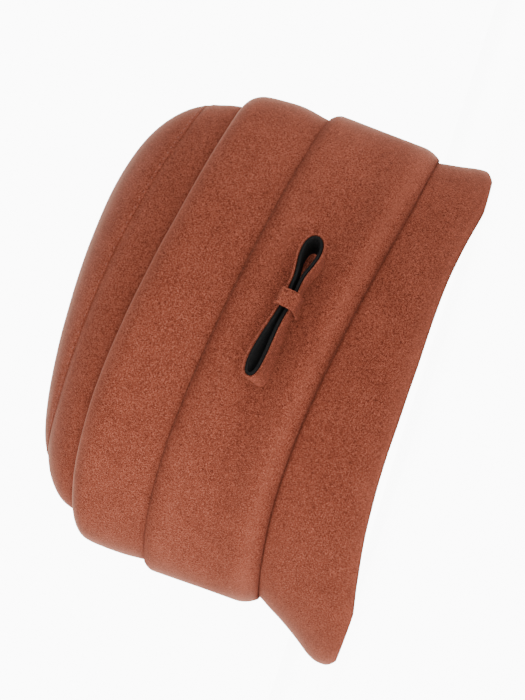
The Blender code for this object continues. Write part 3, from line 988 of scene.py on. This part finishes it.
def loops_outline(bow, out):
    """The bow in plan: its opening's outline moved out by a length, and how wide it is open there."""
    walls = bow.lining + bow.layer_gap + bow.felt
    upper = []
    for step in range(-LOOP_STEPS, LOOP_STEPS + 1):
        place = math.sin(math.pi / 2 * abs(step) / LOOP_STEPS)
        if step > 0:
            long, gap, pinch, turn = bow.back_loop - walls, bow.back_gap, bow.back_pinch, 1
        else:
            long, gap, pinch, turn = bow.front_loop - walls, bow.front_gap, bow.front_pinch, -1
        upper.append((turn * place * long, loop_opening(bow, place, gap, pinch, long)))
    outline = np.array(upper + [(x, -y) for x, y in upper[-2:0:-1]])
    along = np.roll(outline, -1, axis=0) - np.roll(outline, 1, axis=0)
    along /= np.linalg.norm(along, axis=1)[:, None]
    return outline + out * np.column_stack((-along[:, 1], along[:, 0])), 2 * np.maximum(outline[:, 1], 0.0)


def bow_point(bow, x, y, z):
    """A point of the bow in the seat's frame, from its place in a bow that stands straight out."""
    leans = (bow.front_lean, bow.knot_lean, bow.back_lean)
    lean = np.interp(x, (-bow.front_loop, 0.0, bow.back_loop), leans)
    return Vector((x, y + z * math.tan(lean), z))


def seated(hat, bow, columns):
    """Columns of points in the seat's frame, brought to the hat."""
    place, turn = bow_seat(hat, bow)
    return np.array([[place + turn @ point for point in column] for column in columns])


def make_bow_strip(context, name, node, out, thickness, felts):
    """One felt strip of the bow. It follows the hat, more and more away from the knot."""
    hat, bow = context.scene.hat_sizes, context.scene.bow_sizes
    start = bow.keeper_felt + hat.gap
    rows = (0.0, EDGE_ROW / bow.width / 2, 0.25, 0.5, 0.75, 1 - EDGE_ROW / bow.width / 2, 1.0)
    columns = []
    for (x, y), opening in zip(*loops_outline(bow, out / math.cos(bow.front_lean))):
        sag = x**2 / (2 * bow.bend)
        width = bow.width - bow.squeeze * math.exp(-((x / bow.keeper_width) ** 2))
        shut = (bow.front_closing if x < 0 else bow.back_closing) * opening
        drawn_in = bow.back_foot * max(0.0, x) / bow.back_loop
        column = []
        for row in rows:
            foot = 1 - row
            column.append(bow_point(bow, x - foot * drawn_in, y - foot * shut, start - sag + row * width))
        columns.append(column)
    columns = seated(hat, bow, columns)
    obj = wrapped_grid(name, columns)
    thicken(obj, thickness, felts)
    finish_piece(obj, node)


class HAT_OT_bow_lining(bpy.types.Operator):
    """Make the black strip inside the bow's loops"""

    bl_idname = "hat.bow_lining"
    bl_label = "Bow lining"

    def execute(self, context):
        bow = context.scene.bow_sizes
        out, felts = bow.lining / 2, black_felts(context)
        make_bow_strip(context, "bow_lining_strip", "bow_lining", out, bow.lining, felts)
        return {"FINISHED"}


class HAT_OT_bow_loops(bpy.types.Operator):
    """Make the rust strip round the outside of the bow's loops"""

    bl_idname = "hat.bow_loops"
    bl_label = "Bow loops"

    def execute(self, context):
        bow = context.scene.bow_sizes
        out, felts = bow.lining + bow.layer_gap + bow.felt / 2, ribbon_felts(context)
        make_bow_strip(context, "bow_loops_strip", "bow_loops", out, bow.felt, felts)
        return {"FINISHED"}


class HAT_OT_bow_keeper(bpy.types.Operator):
    """Make the strip wrapped round the middle of the bow"""

    bl_idname = "hat.bow_keeper"
    bl_label = "Bow keeper"

    def execute(self, context):
        hat, bow = context.scene.hat_sizes, context.scene.bow_sizes
        centre = bow.keeper_felt + hat.gap + bow.width / 2
        sag = bow.keeper_width**2 / (8 * bow.bend)
        half_depth = bow.width / 2 + sag + hat.gap + bow.keeper_felt / 2
        bundle = bow.lining + bow.layer_gap + bow.felt + bow.layer_gap + bow.keeper_felt / 2
        bundle = bow.knot_gap / 2 + bundle / math.cos(bow.front_lean)
        edge = EDGE_ROW / bow.keeper_width
        rows = [place - 0.5 for place in (1.0, 1 - edge, 0.8, 0.6, 0.4, 0.2, edge, 0.0)]
        columns = []
        corners = (
            (1, 1, bow.keeper_corner),
            (-1, 1, bow.keeper_round),
            (-1, -1, bow.keeper_corner),
            (1, -1, bow.keeper_corner),
        )
        for quarter, (side, up, radius) in enumerate(corners):
            for step in range(QUARTER_STEPS + 1):
                turn = math.pi / 2 * (quarter + step / QUARTER_STEPS)
                y = side * (bundle - radius) + radius * math.cos(turn)
                z = up * (half_depth - radius) + radius * math.sin(turn)
                low = max(0.0, -y / bundle) * min(1.0, max(0.0, 0.5 - z / half_depth))
                column = []
                for row in rows:
                    curl = bow.keeper_curl * low * max(0.0, -2 * row) ** 2
                    column.append(bow_point(bow, row * bow.keeper_width - curl, y - curl, centre + z))
                columns.append(column)
        obj = wrapped_grid("bow_keeper_strip", seated(hat, bow, columns))
        thicken(obj, bow.keeper_felt, ribbon_felts(context))
        finish_piece(obj, "bow_keeper")
        return {"FINISHED"}


def add_camera(hat):
    axis = Vector(hat_axis(hat))
    camera = bpy.data.objects.new("camera", bpy.data.cameras.new("camera"))
    bpy.context.scene.collection.objects.link(camera)
    place = axis + Vector((CAMERA_DISTANCE, 0.0, CAMERA_HEIGHT))
    aim = axis + Vector((0.0, 0.0, AIM_HEIGHT))
    back = (place - aim).normalized()
    level_right = Vector((0.0, 1.0, 0.0))
    level_up = back.cross(level_right)
    right = math.cos(CAMERA_ROLL) * level_right - math.sin(CAMERA_ROLL) * level_up
    up = math.sin(CAMERA_ROLL) * level_right + math.cos(CAMERA_ROLL) * level_up
    turn = Matrix((right, up, back)).transposed()
    camera.matrix_world = Matrix.Translation(place) @ turn.to_4x4()
    camera.data.sensor_width = SENSOR_MM
    camera.data.lens = FOCAL_PIXELS / PICTURE_HEIGHT * SENSOR_MM
    camera.data.clip_start, camera.data.clip_end = CLIP
    bpy.context.scene.camera = camera


def add_light(lamp):
    light = bpy.data.lights.new(lamp.name, "AREA")
    light.shape = "SQUARE"
    light.size = lamp.size
    light.energy = lamp.power
    obj = bpy.data.objects.new(lamp.name, light)
    bpy.context.scene.collection.objects.link(obj)
    obj.location = lamp.place
    obj.rotation_mode = "QUATERNION"
    obj.rotation_quaternion = (Vector(LAMP_AIM) - Vector(lamp.place)).to_track_quat("-Z", "Y")


def seen_or_lit(nodes, links, seen, lit):
    """A strength that is one value where it is seen directly and another where it lights things."""
    path = nodes.new("ShaderNodeLightPath")
    mix = nodes.new("ShaderNodeMapRange")
    mix.inputs["To Min"].default_value = lit
    mix.inputs["To Max"].default_value = seen
    links.new(path.outputs["Is Camera Ray"], mix.inputs["Value"])
    return mix.outputs["Result"]


def white_studio():
    """The white room all round."""
    world = bpy.data.worlds.new("studio")
    world.use_nodes = True
    nodes, links = world.node_tree.nodes, world.node_tree.links
    background = nodes["Background"]
    background.inputs["Color"].default_value = (1.0, 1.0, 1.0, 1.0)
    links.new(seen_or_lit(nodes, links, BACKDROP_GLOW, ROOM_LIGHT), background.inputs["Strength"])
    return world


def floor_material(look):
    """A plain pale floor with faint clouds, as bright as the room."""
    material, nodes, links, shader = new_material("pale_floor", FLOOR_ROUGHNESS)
    cloud = nodes.new("ShaderNodeTexNoise")
    cloud.inputs["Scale"].default_value = FLOOR_CLOUDS
    cloud_tone = [FLOOR_CLOUD_TONE * part for part in look.floor]
    two_tones(nodes, links, shader, cloud, cloud_tone, look.floor)
    shader.inputs["Emission Color"].default_value = (1.0, 1.0, 1.0, 1.0)
    links.new(seen_or_lit(nodes, links, FLOOR_GLOW, FLOOR_LIGHT), shader.inputs["Emission Strength"])
    return material


class HAT_OT_stage(bpy.types.Operator):
    """Make the floor, the lights and the camera"""

    bl_idname = "hat.stage"
    bl_label = "Stage"

    def execute(self, context):
        deselect()
        bpy.ops.mesh.primitive_plane_add(size=FLOOR_SIZE)
        floor = context.object
        floor.name = floor.data.name = "floor"
        floor.data.materials.append(floor_material(context.scene.felt_colours))
        context.scene.world = white_studio()
        for lamp in LAMPS:
            add_light(lamp)
        add_camera(context.scene.hat_sizes)
        return {"FINISHED"}


class HAT_PT_panel(bpy.types.Panel):
    """Lists the hat's pieces and sizes"""

    bl_label = "Cloche hat"
    bl_idname = "HAT_PT_panel"
    bl_space_type = "VIEW_3D"
    bl_region_type = "UI"
    bl_category = "Hat"

    def draw(self, context):
        scene = context.scene
        for operator in OPERATORS:
            self.layout.operator(operator.bl_idname)
        for group in (scene.hat_sizes, scene.bow_sizes, scene.thread_sizes, scene.felt_colours):
            box = self.layout.box()
            for name in group.__annotations__:
                box.prop(group, name)


OPERATORS = (
    HAT_OT_stage,
    HAT_OT_tip,
    HAT_OT_stitches,
    HAT_OT_side,
    HAT_OT_upper_fold,
    HAT_OT_lower_fold,
    HAT_OT_brim,
    HAT_OT_bow_lining,
    HAT_OT_bow_loops,
    HAT_OT_bow_keeper,
)
GROUPS = {
    "hat_sizes": HatSizes,
    "bow_sizes": BowSizes,
    "thread_sizes": ThreadSizes,
    "felt_colours": FeltColours,
}


def register():
    for group in GROUPS.values():
        bpy.utils.register_class(group)
    for cls in (*OPERATORS, HAT_PT_panel):
        bpy.utils.register_class(cls)
    for name, group in GROUPS.items():
        setattr(bpy.types.Scene, name, PointerProperty(type=group))


def unregister():
    for name in GROUPS:
        delattr(bpy.types.Scene, name)
    for cls in (HAT_PT_panel, *reversed(OPERATORS)):
        bpy.utils.unregister_class(cls)
    for group in reversed(tuple(GROUPS.values())):
        bpy.utils.unregister_class(group)


def main():
    register()
    bpy.ops.hat.stage()
    bpy.ops.hat.tip()
    bpy.ops.hat.stitches()
    bpy.ops.hat.side()
    bpy.ops.hat.upper_fold()
    bpy.ops.hat.lower_fold()
    bpy.ops.hat.brim()
    bpy.ops.hat.bow_lining()
    bpy.ops.hat.bow_loops()
    bpy.ops.hat.bow_keeper()


if __name__ == "__main__":
    main()
